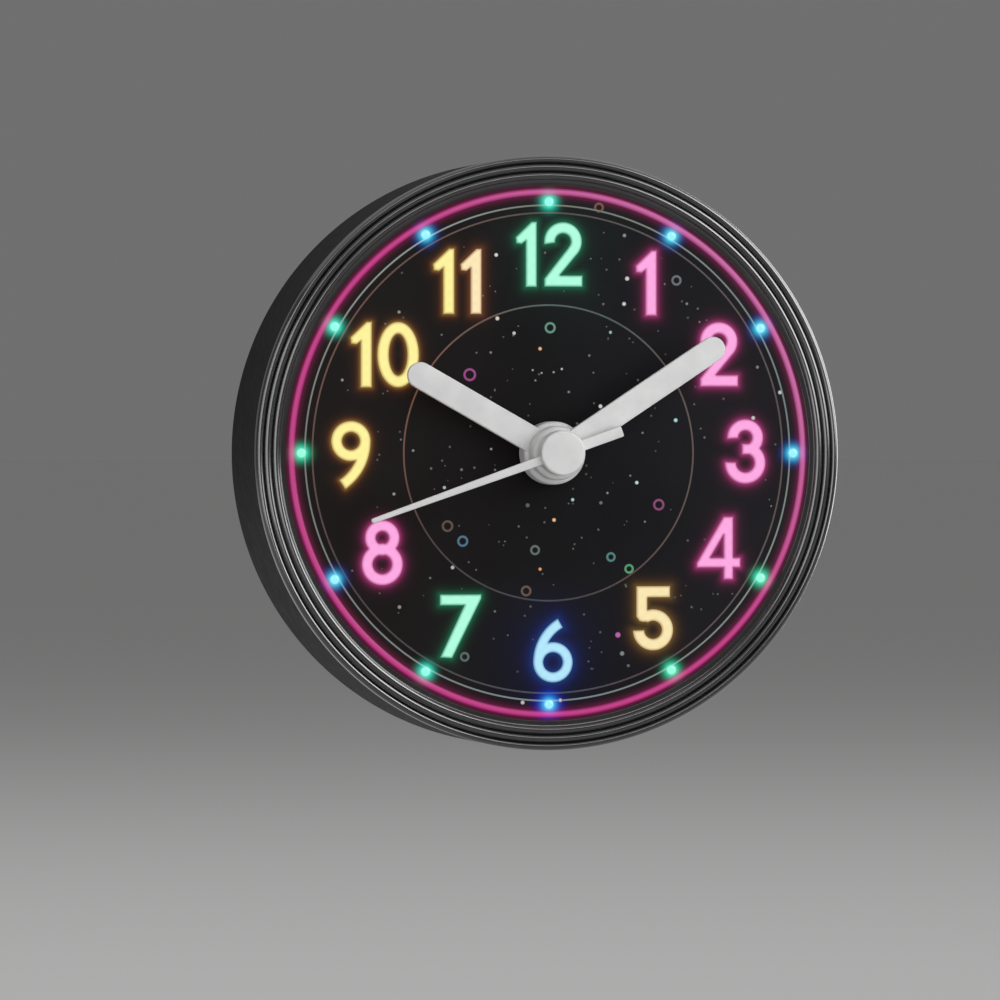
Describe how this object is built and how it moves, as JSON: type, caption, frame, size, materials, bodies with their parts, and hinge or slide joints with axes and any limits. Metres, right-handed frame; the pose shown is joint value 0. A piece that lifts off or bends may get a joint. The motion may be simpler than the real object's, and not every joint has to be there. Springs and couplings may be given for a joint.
{
  "type": "illuminated wall clock",
  "caption": "Round battery wall clock with a black star-field dial, light-up coloured numerals, a pink neon ring, a ridged black bezel and plain white hands.",
  "frame": {"origin": "centre of the rear rim, in the plane that touches the wall", "axes": "+Z towards 12 o'clock, +X towards 3 o'clock, and the dial faces -Y"},
  "size_m": [0.15, 0.0552, 0.15],
  "materials": {
    "case_plastic": "satin moulded black",
    "bezel_plastic": "polished black",
    "dial_acrylic": "satin black print with a star field",
    "numeral_green": "translucent mint acrylic, lit from behind",
    "numeral_pink": "translucent pink acrylic, lit from behind",
    "numeral_yellow": "translucent yellow acrylic, lit from behind",
    "numeral_peach": "translucent peach acrylic, lit from behind",
    "numeral_blue": "translucent light blue acrylic, lit from behind",
    "neon_pink": "translucent pink tube, lit",
    "marker_green": "clear lens over a green light",
    "marker_blue": "clear lens over a blue light",
    "hand_white": "satin white",
    "opal": "opal sheet",
    "white_plastic": "matte white",
    "solder_mask": "white solder mask",
    "green_board": "green solder mask",
    "led_white": "lamp package",
    "movement_plastic": "moulded black",
    "gear_white": "acetal",
    "knob_plastic": "moulded grey",
    "brass": "machined",
    "steel": "zinc plated",
    "silicon_iron": "stamped",
    "magnet": "ground",
    "copper_wire": "enamelled wire",
    "rubber": "moulded",
    "cell_wrap": "printed sleeve, plain",
    "contact": "nickel plated",
    "lead_insulation": "soft PVC",
    "component": "moulded component",
    "ferrite": "sintered ferrite"
  },
  "bodies": {
    "case": {"case_body": "case_plastic", "bezel_ring": "bezel_plastic", "dial_panel": "dial_acrylic", "numeral_counters": "dial_acrylic", "numerals_green": "numeral_green", "numerals_pink": "numeral_pink", "numerals_yellow": "numeral_yellow", "numerals_peach": "numeral_peach", "numerals_blue": "numeral_blue", "neon_ring": "neon_pink", "marker_lenses_green": "marker_green", "marker_lenses_blue": "marker_blue", "diffuser_sheet": "opal", "spacer_ring": "white_plastic", "centre_spacer": "white_plastic", "light_board": "solder_mask", "leds": "led_white", "mounting_gasket": "rubber", "bush_washer": "brass", "bush_nut": "brass", "movement_front_shell": "movement_plastic", "movement_back_shell": "movement_plastic", "movement_plate": "movement_plastic", "stator": "silicon_iron", "coil_bobbin": "white_plastic", "coil_winding": "copper_wire", "movement_board": "green_board", "quartz_crystal": "steel", "movement_contacts": "contact", "movement_cell": "cell_wrap", "rear_cover": "case_plastic", "cover_screws": "steel", "hanger_plate": "steel", "hanger_rivets": "steel", "battery_tray": "movement_plastic", "light_cells": "cell_wrap", "tray_contacts": "contact", "switch_body": "component", "driver_board": "green_board", "driver_transformer": "ferrite", "driver_parts": "component", "battery_leads": "lead_insulation", "board_leads": "lead_insulation", "ring_leads": "lead_insulation"},
    "seconds": {"second_hand": "hand_white", "second_wheel": "gear_white"},
    "minutes": {"minute_hand": "hand_white", "centre_wheel": "brass"},
    "hours": {"hour_hand": "hand_white", "hour_wheel": "gear_white"},
    "rotor": {"rotor": "magnet"},
    "intermediate": {"intermediate_wheel": "gear_white"},
    "third": {"third_wheel": "gear_white"},
    "motion": {"motion_wheel": "gear_white"},
    "setting": {"setting_arbor": "gear_white", "set_knob": "knob_plastic"},
    "door": {"battery_door": "case_plastic"},
    "slider": {"switch_slider": "component"}
  },
  "joints": [
    {"name": "second_spin", "type": "hinge", "parent": "case", "child": "seconds", "pos_m": [0, -0.02, 0], "axis": [0, 1, 0], "continuous": true},
    {"name": "minute_spin", "type": "hinge", "parent": "case", "child": "minutes", "pos_m": [0, -0.02, 0], "axis": [0, 1, 0], "continuous": true},
    {"name": "hour_spin", "type": "hinge", "parent": "case", "child": "hours", "pos_m": [0, -0.02, 0], "axis": [0, 1, 0], "continuous": true},
    {"name": "rotor_spin", "type": "hinge", "parent": "case", "child": "rotor", "pos_m": [-0.00042, -0.02, 0.01452], "axis": [0, 1, 0], "continuous": true},
    {"name": "intermediate_spin", "type": "hinge", "parent": "case", "child": "intermediate", "pos_m": [0.00308, -0.015, 0.00846], "axis": [0, 1, 0], "continuous": true},
    {"name": "third_spin", "type": "hinge", "parent": "case", "child": "third", "pos_m": [0.00792, -0.02, 0], "axis": [0, 1, 0], "continuous": true},
    {"name": "motion_spin", "type": "hinge", "parent": "case", "child": "motion", "pos_m": [-0.00677, -0.023, -0.00246], "axis": [0, 1, 0], "continuous": true},
    {"name": "setting_spin", "type": "hinge", "parent": "case", "child": "setting", "pos_m": [-0.01325, -0.02, -0.0001], "axis": [0, 1, 0], "continuous": true},
    {"name": "battery_door_hinge", "type": "hinge", "parent": "case", "child": "door", "pos_m": [0, -0.007, -0.0615], "axis": [-1, 0, 0], "range_deg": [0, 105]},
    {"name": "light_switch_slide", "type": "slide", "parent": "case", "child": "slider", "axis": [1, 0, 0], "range_m": [0, 0.004]}
  ],
  "couplings": [
    {"joint": "minute_spin", "follows": "second_spin", "ratio": 0.016667},
    {"joint": "hour_spin", "follows": "second_spin", "ratio": 0.0013889},
    {"joint": "rotor_spin", "follows": "second_spin", "ratio": 30},
    {"joint": "intermediate_spin", "follows": "second_spin", "ratio": -5},
    {"joint": "third_spin", "follows": "second_spin", "ratio": -0.13333},
    {"joint": "motion_spin", "follows": "second_spin", "ratio": -0.0055556},
    {"joint": "setting_spin", "follows": "second_spin", "ratio": 0.02}
  ]
}
